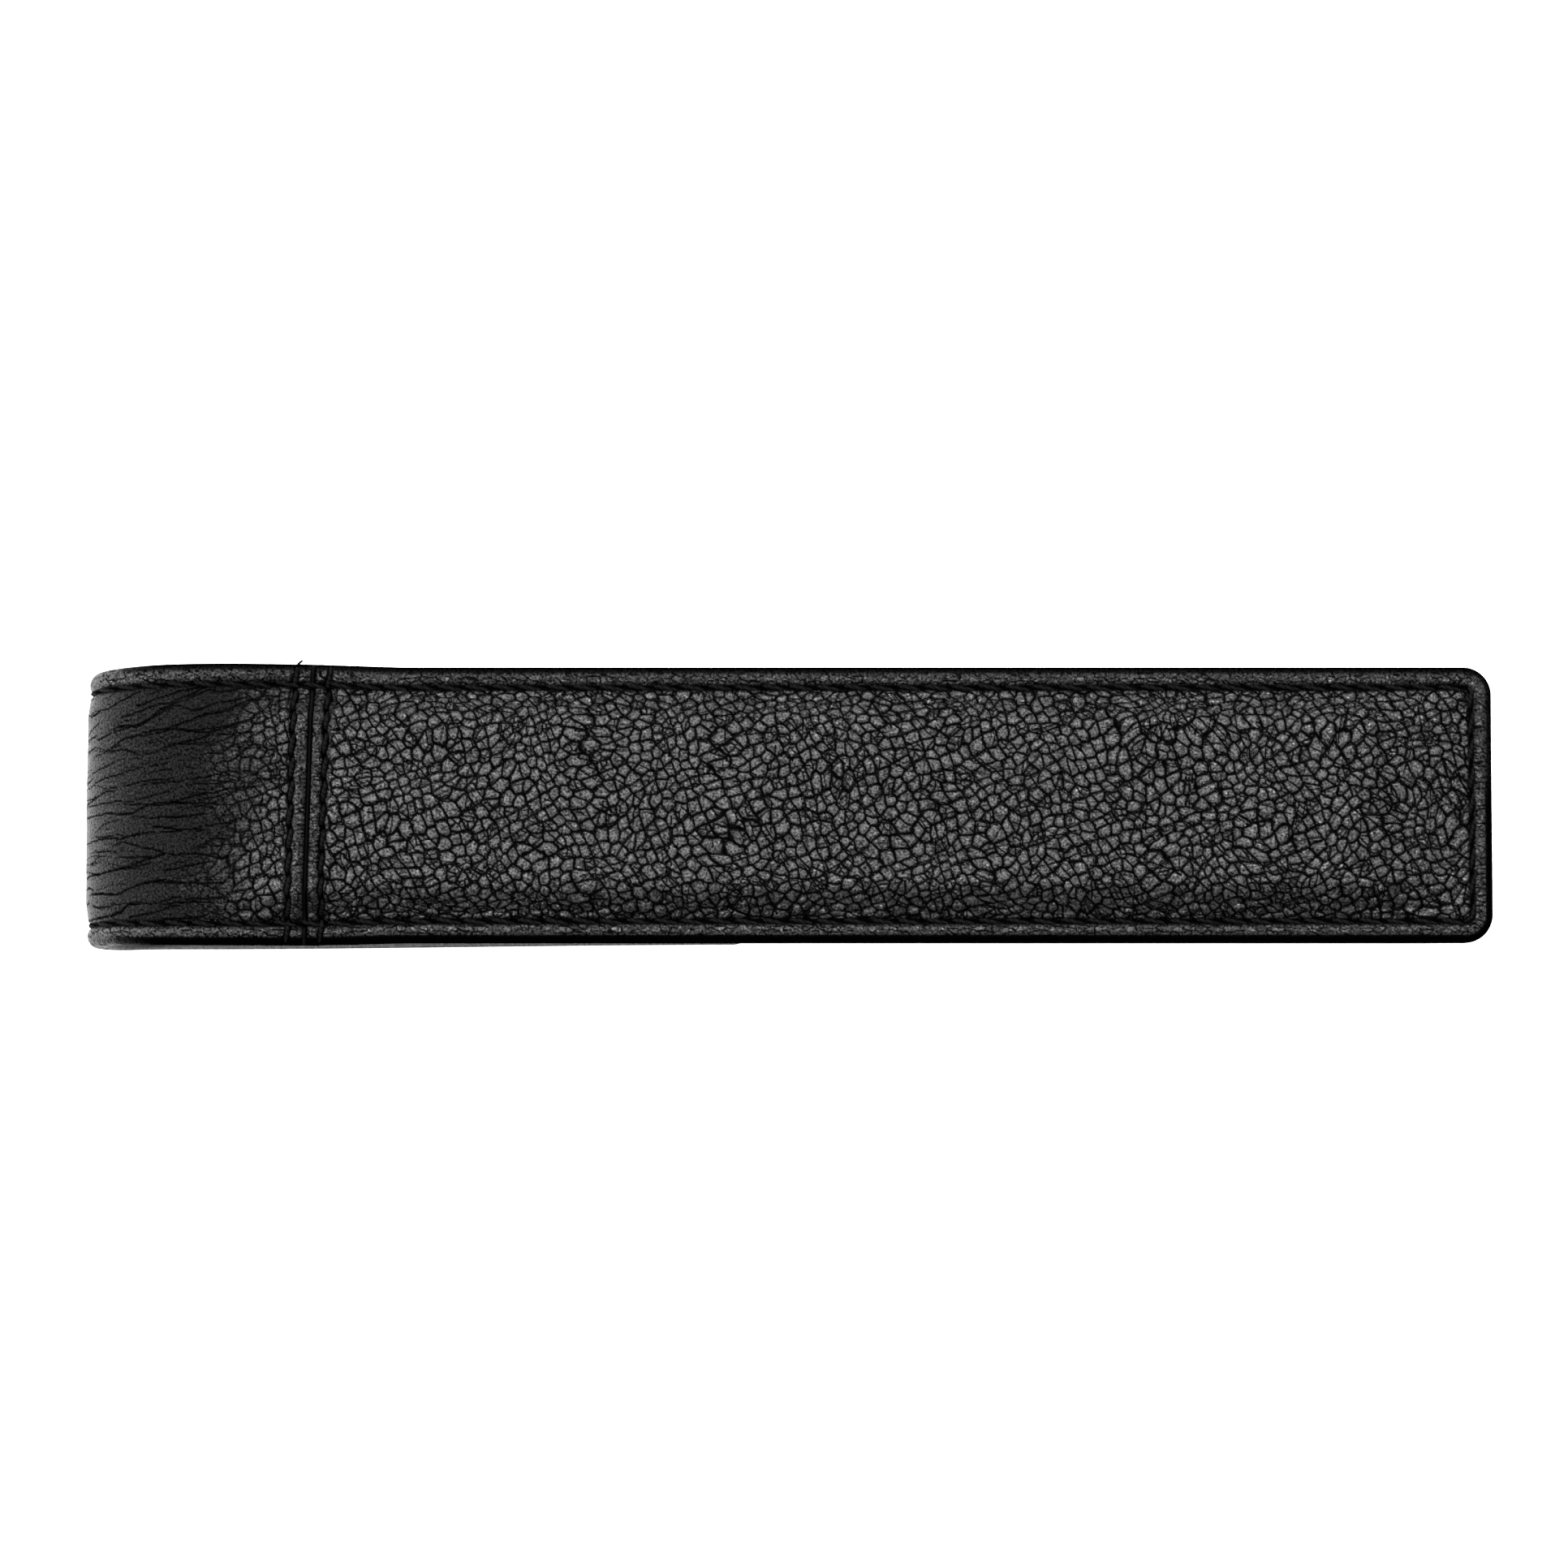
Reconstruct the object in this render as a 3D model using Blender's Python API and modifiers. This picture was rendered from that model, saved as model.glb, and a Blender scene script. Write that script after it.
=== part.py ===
"""A leather case for one fountain pen: a stitched pouch, and a flap that wraps round its open end
and is held against the pouch's front by a hidden magnet.

The case lies closed on its flap, with its plain back upwards. +X runs from the fold of the flap to
the closed end of the pouch, and +Z is up. The origin is in the middle of the case's length and
width, on the surface that it lies on.

The back, the fold and the flap are one long sheet, called the wrap. A place on the wrap is given by
u, which runs along its crown line: 0 to 1 along the back from the closed end, 1 to 2 and 2 to 3 over
the upper and the lower half of the fold, and 3 to 4 along the flap to its tip. t runs across, from
-1 at one long edge to 1 at the other. On the front of the pouch, x takes the place of u.
"""

import math

import bmesh
import bpy
from mathutils import Vector

MM = 0.001

# Overall size of the closed case
LENGTH = 160.0 * MM
HEIGHT = 17.5 * MM
BODY_HALF_WIDTH = 15.65 * MM
SEAM_HALF_WIDTH = 15.95 * MM
FOLD_HALF_WIDTH = 15.65 * MM
FLAP_HALF_WIDTH = 15.35 * MM
CORNER_RADIUS = 3.2 * MM
SWELL_PAST_MOUTH = 8.0 * MM
SWELL_LENGTH = 13.0 * MM

# Places along the case
X_CLOSED = LENGTH / 2
X_FOLD = -LENGTH / 2
X_SEAM = X_FOLD + 26.2 * MM
X_MOUTH = X_FOLD + 30.0 * MM
X_TIP = X_FOLD + 77.0 * MM
X_UPPER = X_FOLD + 16.0 * MM
X_LOWER = X_FOLD + 10.0 * MM
X_FLAP_STRAIGHT = X_LOWER + 10.0 * MM
X_MAGNET = X_TIP - 12.0 * MM

# Layers, each from its outer face inwards, with a gap between them
GAP = 0.2 * MM
LEATHER = 0.8 * MM
INTERLINING = 0.4 * MM
LINING = 0.35 * MM
FLAP_BOARD = 0.9 * MM
INTERLINING_DEPTH = LEATHER + GAP
LINING_DEPTH = INTERLINING_DEPTH + INTERLINING + GAP
FLAP_LINING_DEPTH = INTERLINING_DEPTH + FLAP_BOARD + GAP
FLAP_STACK = FLAP_LINING_DEPTH + LINING

# The stitched margin, and how far the panels swell from it
MARGIN = 2.4 * MM
EDGE_HALF = 2.05 * MM
BACK_RISE = 2.2 * MM
PILLOW = 0.8 * MM
FOLD_PILLOW = 0.65 * MM
BACK_SHOULDER = 4.6 * MM
FRONT_SHOULDER = 9.0 * MM
PILLOW_SHOULDER = 3.2 * MM
BACK_END_SHOULDER = 15.0 * MM
FRONT_END_SHOULDER = 18.0 * MM
MOUTH_SHOULDER = 4.0 * MM
FLAP_SKEW = 0.8 * MM
TIP_SKEW = 0.25 * MM
SEAM_GAP = 0.4 * MM
SEAM_OVERLAP = 5.0 * MM
LINING_INSET = 1.8 * MM
BOARD_INSET = 5.0 * MM
FLAP_CLEARANCE = 0.3 * MM
STEP_PAST_TIP = 1.0 * MM
STEP_LENGTH = 18.0 * MM
Z_JOIN = HEIGHT - BACK_RISE - EDGE_HALF
FLAP_ROOM = FLAP_STACK + FLAP_CLEARANCE

# Thread
THREAD_RADIUS = 0.25 * MM
THREAD_LIFT = THREAD_RADIUS + 0.13 * MM
SEAM_ROW = 1.8 * MM
MOUTH_ROW = 2.0 * MM
THREAD_CORNER = 0.3 * MM

# Closure
MAGNET_RADIUS = 4.0 * MM
MAGNET_CLEARANCE = 0.3 * MM
MAGNET_THICKNESS = 0.8 * MM
KEEPER_THICKNESS = 0.4 * MM
DISC_SIDES = 24

# The fold opens flat by turning a quarter turn about each of these axes, which run along Y
AXIS_UPPER = Vector((-76.96, 0.0, 13.92)) * MM
AXIS_LOWER = Vector((-77.56, 0.0, 2.80)) * MM
U_UPPER_SPLIT = 1.60
U_LOWER_SPLIT = 2.54
U_SPLIT_HALF_GAP = 0.012

# Where the sheets have their grid lines
T_STITCH = 1 - MARGIN / BODY_HALF_WIDTH
POUCH_T = (1.0, T_STITCH, 0.79, 0.70, 0.60, 0.50, 0.39, 0.28)
POUCH_ROWS = [-t for t in POUCH_T] + [0.0] + [t for t in reversed(POUCH_T)]
WRAP_T = (1.0, T_STITCH, 0.79, 0.71, 0.62)
WRAP_ROWS = [-t for t in WRAP_T] + [t for t in reversed(WRAP_T)]
POUCH_BOARD_T = POUCH_T[3]
SEAM_THREAD_T = 0.8
FLAP_BOARD_T = WRAP_T[4]
END_STEPS = (0.0, 0.8, 1.8, 3.2, 5.0, 7.5, 10.0, 12.7)


def smooth(value):
    """0 below 0 and 1 above 1, with a smooth step between."""
    value = min(max(value, 0.0), 1.0)
    return value * value * (3 - 2 * value)


def mix(low, high, share):
    return low + (high - low) * share


def rounded(half_width, to_end):
    """A half width with the rounded corner that it has near an end."""
    if to_end >= CORNER_RADIUS:
        return half_width
    run = CORNER_RADIUS - max(to_end, 0.0)
    return half_width - CORNER_RADIUS + math.sqrt(max(CORNER_RADIUS**2 - run**2, 0.0))


# ---------------------------------------------------------------- the wrap: back, fold and flap


def crown(u):
    """The wrap's outer crown line at u, and the direction that points out of the case there."""
    half = HEIGHT / 2
    if u <= 1:
        return Vector((mix(X_CLOSED, X_UPPER, u), 0, HEIGHT)), Vector((0, 0, 1))
    if u >= 3:
        return Vector((mix(X_LOWER, X_TIP, u - 3), 0, 0)), Vector((0, 0, -1))
    run = X_UPPER - X_FOLD if u < 2 else X_LOWER - X_FOLD
    angle = (u - 1) * math.pi / 2
    place = Vector((X_FOLD + run * (1 - math.sin(angle)), 0, half + half * math.cos(angle)))
    return place, Vector((-math.sin(angle) / run, 0, math.cos(angle) / half)).normalized()


def u_of_back(x):
    return (X_CLOSED - x) / (X_CLOSED - X_UPPER)


def u_of_flap(x):
    return 3 + (x - X_LOWER) / (X_TIP - X_LOWER)


def wide_pouch(x):
    """The pouch's half width at x, which swells a little towards the seam."""
    return mix(BODY_HALF_WIDTH, SEAM_HALF_WIDTH, smooth((X_MOUTH + SWELL_PAST_MOUTH - x) / SWELL_LENGTH))


def back_half_width(x):
    return rounded(wide_pouch(x), X_CLOSED - x)


def wide_wrap(u):
    """The wrap's half width at u, before its corners are rounded."""
    at_seam = u_of_back(X_SEAM)
    if u <= 2:
        return mix(wide_pouch(crown(u)[0].x), FOLD_HALF_WIDTH, smooth((u - at_seam) / (2 - at_seam)))
    return mix(FOLD_HALF_WIDTH, FLAP_HALF_WIDTH, smooth(u - 2))


def wrap_half_width(u):
    if u <= 1:
        return rounded(wide_wrap(u), X_CLOSED - crown(u)[0].x)
    if u <= 3:
        return wide_wrap(u)
    return rounded(wide_wrap(u), X_TIP - crown(u)[0].x)


def wrap_skew(u):
    """The flap lies a little to one side of the pouch, most of all near the fold."""
    return -mix(0, FLAP_SKEW, smooth((u - 1.2) / 1.4)) + mix(0, FLAP_SKEW - TIP_SKEW, smooth(u - 3))


def wrap_drop(u, y, pillowed):
    """How far the wrap's outer face lies inside its crown line."""
    x = crown(u)[0].x
    inside = wide_wrap(u) - MARGIN - abs(y)
    if u > 1:
        rise = mix(FOLD_PILLOW, PILLOW, smooth(u - 2)) if pillowed else 0.0
        end = smooth((X_TIP - MARGIN - x) / PILLOW_SHOULDER) if u > 3 else 1.0
        return rise * (1 - smooth(inside / PILLOW_SHOULDER) * end)
    raised = smooth((X_MOUTH - x) / (X_MOUTH - X_UPPER))
    side = smooth(inside / mix(BACK_SHOULDER, PILLOW_SHOULDER, raised))
    end = smooth((X_CLOSED - MARGIN - x) / BACK_END_SHOULDER)
    return mix(BACK_RISE, FOLD_PILLOW, raised) * (1 - side * end)


def wrap_face(u, t, pillowed=True):
    place, outward = crown(u)
    y = t * wrap_half_width(u)
    return place - outward * wrap_drop(u, y, pillowed) + Vector((0, y + wrap_skew(u), 0))


def wrap_flat_face(u, t):
    """The wrap without the swelling that its stitched margin stands back from."""
    return wrap_face(u, t, False)


# ---------------------------------------------------------------- the front of the pouch


def front_crown_height(x):
    """The front rests on the surface, and on the flap where that lies under it."""
    over_flap = 1 - smooth((x - X_TIP - STEP_PAST_TIP) / STEP_LENGTH)
    mouth_dip = PILLOW * (1 - smooth((x - X_MOUTH - MOUTH_ROW) / MOUTH_SHOULDER))
    return FLAP_ROOM * over_flap + mouth_dip


def front_face(x, t):
    y = t * back_half_width(x)
    margin_height = Z_JOIN - EDGE_HALF
    side = smooth((wide_pouch(x) - MARGIN - abs(y)) / FRONT_SHOULDER)
    end = smooth((X_CLOSED - MARGIN - x) / FRONT_END_SHOULDER)
    return Vector((x, y, mix(margin_height, front_crown_height(x), side * end)))


# ---------------------------------------------------------------- building blocks


def material(name, color, roughness, metallic=0.0):
    made = bpy.data.materials.new(name)
    made.use_nodes = True
    shader = made.node_tree.nodes["Principled BSDF"]
    shader.inputs["Base Color"].default_value = (*color, 1.0)
    shader.inputs["Roughness"].default_value = roughness
    shader.inputs["Metallic"].default_value = metallic
    return made


def clear_scene():
    for obj in list(bpy.data.objects):
        bpy.data.objects.remove(obj, do_unlink=True)


def collection(name):
    made = bpy.data.collections.new(name)
    bpy.context.scene.collection.children.link(made)
    return made


def pivot(name, place, into):
    """An empty on a body's joint axis, which the body's pieces are parented to."""
    empty = bpy.data.objects.new(name, None)
    empty.location = place
    into.objects.link(empty)
    return empty


def place_on(obj, body, finish, into):
    obj.data.materials.append(finish)
    obj.parent = body
    into.objects.link(obj)
    return obj


def offset(face, along, t, depth):
    """The point at a depth under a face, measured square to it."""
    step = 1e-4
    across = face(along, t + step) - face(along, t - step)
    down = face(along + step, t) - face(along - step, t)
    outward = across.cross(down).normalized()
    return face(along, t) - outward * depth


def sheet(name, body, finish, into, face, stations, rows, depth, thickness):
    """A grid laid at a depth under a face, given its thickness inwards. Its outer side faces out."""
    graph = bmesh.new()
    columns = len(rows) - 1
    lines = len(stations) - 1
    bmesh.ops.create_grid(graph, x_segments=columns, y_segments=lines, size=1)
    for vert in graph.verts:
        row = rows[round((vert.co.x + 1) / 2 * columns)]
        station = stations[round((vert.co.y + 1) / 2 * lines)]
        vert.co = offset(face, station, row, depth) - body.location
    bmesh.ops.triangulate(graph, faces=graph.faces, quad_method="FIXED")
    mesh = bpy.data.meshes.new(name)
    graph.to_mesh(mesh)
    graph.free()
    mesh.shade_smooth()
    obj = place_on(bpy.data.objects.new(name, mesh), body, finish, into)
    solid = obj.modifiers.new("thickness", "SOLIDIFY")
    solid.thickness = thickness
    solid.offset = -1
    solid.use_even_offset = True
    return obj


def thread(name, body, finish, into, points):
    """A row of stitching, as one thread along its line on the face."""
    curve = bpy.data.curves.new(name, "CURVE")
    curve.dimensions = "3D"
    curve.bevel_depth = THREAD_RADIUS
    curve.bevel_resolution = 1
    curve.use_fill_caps = True
    spline = curve.splines.new("POLY")
    spline.points.add(len(points) - 1)
    for place, point in zip(points, spline.points):
        point.co = (*(place - body.location), 1)
    return place_on(bpy.data.objects.new(name, curve), body, finish, into)


def disc(name, body, finish, into, radius, thickness, place):
    graph = bmesh.new()
    bmesh.ops.create_cone(
        graph, cap_ends=True, segments=DISC_SIDES, radius1=radius, radius2=radius, depth=thickness
    )
    mesh = bpy.data.meshes.new(name)
    graph.to_mesh(mesh)
    graph.free()
    obj = bpy.data.objects.new(name, mesh)
    obj.location = place - body.location
    return place_on(obj, body, finish, into)


def punch_hole(obj, body, finish, cutters, place):
    """Cuts the round hole that a magnet or its keeper sits in."""
    radius = MAGNET_RADIUS + MAGNET_CLEARANCE
    cutter = disc(obj.name + "_hole", body, finish, cutters, radius, 4 * FLAP_BOARD, place)
    cutter.hide_render = True
    cutter.display_type = "WIRE"
    cut = obj.modifiers.new("hole", "BOOLEAN")
    cut.operation = "DIFFERENCE"
    cut.object = cutter


def spread(first, last, count):
    """count values from first to last, evenly apart."""
    return [mix(first, last, i / (count - 1)) for i in range(count)]


# ---------------------------------------------------------------- lines that pieces share


def back_stations(to_x):
    """x along the back from the closed end, close together where its shape changes."""
    ends = [X_CLOSED - step * MM for step in END_STEPS]
    middle = [40 * MM, 0, -36 * MM, -44 * MM]
    seam = [X_SEAM + step for step in (SEAM_ROW, SEAM_GAP / 2, -SEAM_GAP / 2, -SEAM_ROW)]
    mouth = [X_MOUTH, *seam, X_SEAM - SEAM_OVERLAP, X_UPPER]
    return [x for x in ends + middle + mouth if x >= to_x - 1e-6]


def front_stations(from_x, to_x):
    """x along the front from the mouth to the closed end."""
    mouth = [X_MOUTH + step for step in (0, MOUTH_ROW, MOUTH_ROW + MOUTH_SHOULDER)]
    step = [X_TIP + STEP_PAST_TIP + STEP_LENGTH * share for share in (0, 0.25, 0.5, 0.75, 1.0)]
    middle = [20 * MM, X_CLOSED - MARGIN - FRONT_END_SHOULDER]
    ends = [X_CLOSED - step * MM for step in reversed((*END_STEPS, 16.0))]
    return [x for x in mouth + step + middle + ends if from_x - 1e-6 <= x <= to_x + 1e-6]


def inner_rows(rows, most):
    return [t for t in rows if abs(t) <= most + 1e-9]


def stitch_t(half_width):
    return (half_width - MARGIN) / half_width


def pouch_edge_line(face, along_of_x, from_x, half_width_of):
    """The stitch line round the pouch: out along one side, across the closed end, and back."""
    turn = X_CLOSED - MARGIN
    xs = [x for x in back_stations(from_x) if x < turn - 3 * THREAD_CORNER][::-1]
    if xs[0] > from_x + 1e-6:
        xs.insert(0, from_x)
    corner_y = BODY_HALF_WIDTH - MARGIN
    side = [(x, corner_y / half_width_of(x)) for x in xs]
    side = [(x, stitch_t(half_width_of(x)) if x < X_MOUTH else t) for x, t in side]
    corner = (turn - THREAD_CORNER, (corner_y - THREAD_CORNER) / half_width_of(turn))
    across_y = corner_y - 3 * THREAD_CORNER
    across = [(turn, share * across_y / half_width_of(turn)) for share in (1, 0.5, 0)]
    half = side + [corner] + across
    whole = half + [(x, -t) for x, t in reversed(half[:-1])]
    return [offset(face, along_of_x(x), t, -THREAD_LIFT) for x, t in whole]


def cross_line(face, along):
    """A stitch line straight across, ending just short of the ones along the edges."""
    return [offset(face, along, t, -THREAD_LIFT) for t in inner_rows(POUCH_ROWS, SEAM_THREAD_T)]


# ---------------------------------------------------------------- the three bodies


def build_pouch(body, kit, parts, cutters):
    leather, board, lining, stitching, steel = kit
    after_seam = [u_of_back(x) for x in back_stations(X_SEAM + SEAM_GAP / 2)]
    sheet("back_leather", body, leather, parts, wrap_face, after_seam, POUCH_ROWS, 0, LEATHER)

    before_seam = [u_of_back(x) for x in back_stations(X_UPPER) if x < X_SEAM]
    upper_fold = spread(1, U_UPPER_SPLIT - U_SPLIT_HALF_GAP, 6)[1:]
    hood = before_seam + upper_fold
    sheet("flap_leather_on_back", body, leather, parts, wrap_face, hood, POUCH_ROWS, 0, LEATHER)

    tape = [u_of_back(x) for x in back_stations(X_SEAM - SEAM_OVERLAP) if x <= X_MOUTH]
    board_rows = inner_rows(POUCH_ROWS, POUCH_BOARD_T)
    sheet("seam_tape", body, lining, parts, wrap_face, tape, board_rows, INTERLINING_DEPTH, LINING)

    reach = [x for x in back_stations(X_MOUTH + MOUTH_ROW) if x <= X_CLOSED - BOARD_INSET]
    reach = [u_of_back(x) for x in reach]
    sheet(
        "back_interlining",
        body,
        board,
        parts,
        wrap_face,
        reach,
        board_rows,
        INTERLINING_DEPTH,
        INTERLINING,
    )

    inside = [u_of_back(x) for x in back_stations(X_UPPER) if x <= X_CLOSED - LINING_INSET]
    inside += upper_fold
    lining_rows = inner_rows(POUCH_ROWS, T_STITCH)
    sheet("back_lining", body, lining, parts, wrap_face, inside, lining_rows, LINING_DEPTH, LINING)

    xs = front_stations(X_MOUTH, X_CLOSED)
    sheet("front_leather", body, leather, parts, front_face, xs, POUCH_ROWS, 0, LEATHER)
    xs = front_stations(X_MOUTH + MOUTH_ROW, X_CLOSED - BOARD_INSET)
    front_board = sheet(
        "front_interlining",
        body,
        board,
        parts,
        front_face,
        xs,
        board_rows,
        INTERLINING_DEPTH,
        INTERLINING,
    )
    xs = front_stations(X_MOUTH, X_CLOSED - LINING_INSET)
    sheet("front_lining", body, lining, parts, front_face, xs, lining_rows, LINING_DEPTH, LINING)

    keeper_height = FLAP_ROOM + INTERLINING_DEPTH + INTERLINING / 2
    keeper_place = Vector((X_MAGNET, 0, keeper_height))
    disc("keeper_plate", body, steel, parts, MAGNET_RADIUS, KEEPER_THICKNESS, keeper_place)
    punch_hole(front_board, body, board, cutters, keeper_place)

    line = pouch_edge_line(wrap_face, u_of_back, X_UPPER, back_half_width)
    thread("edge_stitching", body, stitching, parts, line)
    line = pouch_edge_line(front_face, lambda x: x, X_MOUTH + 0.5 * MM, back_half_width)
    thread("edge_stitching_on_front", body, stitching, parts, line)
    line = cross_line(wrap_face, u_of_back(X_SEAM + SEAM_ROW))
    thread("seam_stitching_back_side", body, stitching, parts, line)
    line = cross_line(wrap_face, u_of_back(X_SEAM - SEAM_ROW))
    thread("seam_stitching_flap_side", body, stitching, parts, line)
    line = cross_line(front_face, X_MOUTH + MOUTH_ROW)
    thread("mouth_stitching", body, stitching, parts, line)


def build_fold(body, kit, parts):
    leather, _, lining, stitching, _ = kit
    first, last = U_UPPER_SPLIT + U_SPLIT_HALF_GAP, U_LOWER_SPLIT - U_SPLIT_HALF_GAP
    around = spread(first, 2, 4) + spread(2, last, 4)[1:]
    sheet("fold_leather", body, leather, parts, wrap_face, around, WRAP_ROWS, 0, LEATHER)
    rows = inner_rows(WRAP_ROWS, T_STITCH)
    sheet("fold_lining", body, lining, parts, wrap_flat_face, around, rows, FLAP_LINING_DEPTH, LINING)
    for side, name in ((-1, "fold_stitching_near"), (1, "fold_stitching_far")):
        us = spread(first + U_SPLIT_HALF_GAP, last - U_SPLIT_HALF_GAP, 9)
        line = [offset(wrap_face, u, side * stitch_t(wrap_half_width(u)), -THREAD_LIFT) for u in us]
        thread(name, body, stitching, parts, line)


def flap_stations():
    lower_fold = spread(U_LOWER_SPLIT + U_SPLIT_HALF_GAP, 3, 4)
    straight = [u_of_flap(x) for x in (X_FLAP_STRAIGHT, X_MAGNET, X_TIP - MARGIN - PILLOW_SHOULDER)]
    tip = [u_of_flap(X_TIP - step * MM) for step in reversed(END_STEPS[:4])]
    return lower_fold + straight + tip


def build_flap(body, kit, parts, cutters):
    leather, board, lining, stitching, steel = kit
    stations = flap_stations()
    sheet("flap_leather", body, leather, parts, wrap_face, stations, WRAP_ROWS, 0, LEATHER)
    inside = [u for u in stations if u <= u_of_flap(X_TIP - LINING_INSET) + 1e-6]
    rows = inner_rows(WRAP_ROWS, T_STITCH)
    sheet("flap_lining", body, lining, parts, wrap_flat_face, inside, rows, FLAP_LINING_DEPTH, LINING)
    reach = [u for u in stations if 3 <= u <= u_of_flap(X_TIP - MARGIN - PILLOW_SHOULDER) + 1e-6]
    rows = inner_rows(WRAP_ROWS, FLAP_BOARD_T)
    flap_board = sheet(
        "flap_board", body, board, parts, wrap_flat_face, reach, rows, INTERLINING_DEPTH, FLAP_BOARD
    )
    magnet_place = Vector((X_MAGNET, wrap_skew(u_of_flap(X_MAGNET)), INTERLINING_DEPTH + FLAP_BOARD / 2))
    disc("flap_magnet", body, steel, parts, MAGNET_RADIUS, MAGNET_THICKNESS, magnet_place)
    punch_hole(flap_board, body, board, cutters, magnet_place)

    turn = X_TIP - MARGIN
    straight = [X_FLAP_STRAIGHT, X_MAGNET, turn - 4 * THREAD_CORNER]
    us = spread(U_LOWER_SPLIT + 2 * U_SPLIT_HALF_GAP, 3, 5) + [u_of_flap(x) for x in straight]
    side = [(u, stitch_t(wide_wrap(u))) for u in us]
    corner = (u_of_flap(turn - THREAD_CORNER), side[-1][1] - THREAD_CORNER / FLAP_HALF_WIDTH)
    half = side + [corner] + [(u_of_flap(turn), t) for t in (0.76, 0.4, 0)]
    whole = half + [(u, -t) for u, t in reversed(half[:-1])]
    line = [offset(wrap_face, u, t, -THREAD_LIFT) for u, t in whole]
    thread("flap_edge_stitching", body, stitching, parts, line)


def build():
    clear_scene()
    parts = collection("fountain_pen_case")
    cutters = collection("cutters")
    kit = (
        material("grained_leather", (0.024, 0.024, 0.025), 0.46),
        material("interlining_board", (0.22, 0.19, 0.16), 0.9),
        material("microfibre_lining", (0.035, 0.035, 0.038), 0.95),
        material("stitching_thread", (0.008, 0.008, 0.008), 0.6),
        material("nickel_plate", (0.62, 0.61, 0.58), 0.3, 1.0),
    )
    flap = pivot("flap", Vector((0, 0, 0)), parts)
    fold = pivot("fold", AXIS_LOWER, parts)
    pouch = pivot("pouch", AXIS_UPPER, parts)
    build_flap(flap, kit, parts, cutters)
    build_fold(fold, kit, parts)
    build_pouch(pouch, kit, parts, cutters)


build()
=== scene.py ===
"""The looks of the leather fountain pen case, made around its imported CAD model.

Every leather skin is a height field over the CAD model's outer faces: pebbled grain, creases,
stitch grooves, and turned edges with their hems. Lengths in the shape functions are in metres, and
the grain and crease patterns take millimetres. A place on the wrap (the back, the fold and the flap
in one) is u, which runs along its crown line, and y, which runs across it. u is 0 at the closed
end, 1 where the back starts to bend, 2 at the foremost line of the fold, 3 where the fold ends in
the flap, and 4 at the flap's tip.
"""

import math

import bpy
import numpy as np
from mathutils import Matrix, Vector


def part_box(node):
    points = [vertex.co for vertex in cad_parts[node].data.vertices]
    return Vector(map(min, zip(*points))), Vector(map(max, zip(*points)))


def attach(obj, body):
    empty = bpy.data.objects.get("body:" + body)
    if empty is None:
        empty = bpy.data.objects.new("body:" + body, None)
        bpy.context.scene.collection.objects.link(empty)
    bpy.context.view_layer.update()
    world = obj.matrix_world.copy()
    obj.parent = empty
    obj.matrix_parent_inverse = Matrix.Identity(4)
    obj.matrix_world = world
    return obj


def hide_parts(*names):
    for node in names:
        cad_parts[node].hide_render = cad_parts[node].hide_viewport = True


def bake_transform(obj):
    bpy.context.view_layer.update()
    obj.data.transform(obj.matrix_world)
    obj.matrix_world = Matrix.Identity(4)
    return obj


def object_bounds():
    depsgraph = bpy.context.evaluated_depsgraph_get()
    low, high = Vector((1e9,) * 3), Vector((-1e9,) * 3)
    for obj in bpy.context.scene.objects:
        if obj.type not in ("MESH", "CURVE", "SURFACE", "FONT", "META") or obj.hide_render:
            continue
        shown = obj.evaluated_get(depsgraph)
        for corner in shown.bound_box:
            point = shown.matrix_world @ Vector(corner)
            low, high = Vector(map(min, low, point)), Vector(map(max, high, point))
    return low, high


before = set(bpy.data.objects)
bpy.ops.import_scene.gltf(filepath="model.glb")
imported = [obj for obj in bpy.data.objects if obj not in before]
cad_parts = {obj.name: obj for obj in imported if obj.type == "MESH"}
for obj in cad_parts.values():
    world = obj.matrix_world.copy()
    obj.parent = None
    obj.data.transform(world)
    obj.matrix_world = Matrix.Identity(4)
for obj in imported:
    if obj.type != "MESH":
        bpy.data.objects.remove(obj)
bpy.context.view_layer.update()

MM = 0.001

# ---------------------------------------------------------------- sizes from the frame

X_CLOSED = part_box("back_leather")[1].x
X_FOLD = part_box("fold_leather")[0].x
X_SEAM = (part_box("back_leather")[0].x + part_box("flap_leather_on_back")[1].x) / 2
X_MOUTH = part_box("front_leather")[0].x
X_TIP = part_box("flap_leather")[1].x
X_UPPER = X_FOLD + 16.0 * MM  # where the back starts to bend into the fold
X_LOWER = X_FOLD + 10.0 * MM  # where the fold ends in the flap
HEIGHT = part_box("back_leather")[1].z
SEAM_HALF_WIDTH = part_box("back_leather")[1].y
BODY_HALF_WIDTH = SEAM_HALF_WIDTH - 0.3 * MM
FOLD_HALF_WIDTH = SEAM_HALF_WIDTH - 0.3 * MM
FLAP_HALF_WIDTH = SEAM_HALF_WIDTH - 0.6 * MM
CORNER_RADIUS = 3.2 * MM
Z_JOIN = (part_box("back_leather")[0].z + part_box("front_leather")[1].z) / 2
FLAP_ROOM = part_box("flap_lining")[0].z + 0.8 * MM  # how high the front lies over the flap

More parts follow.
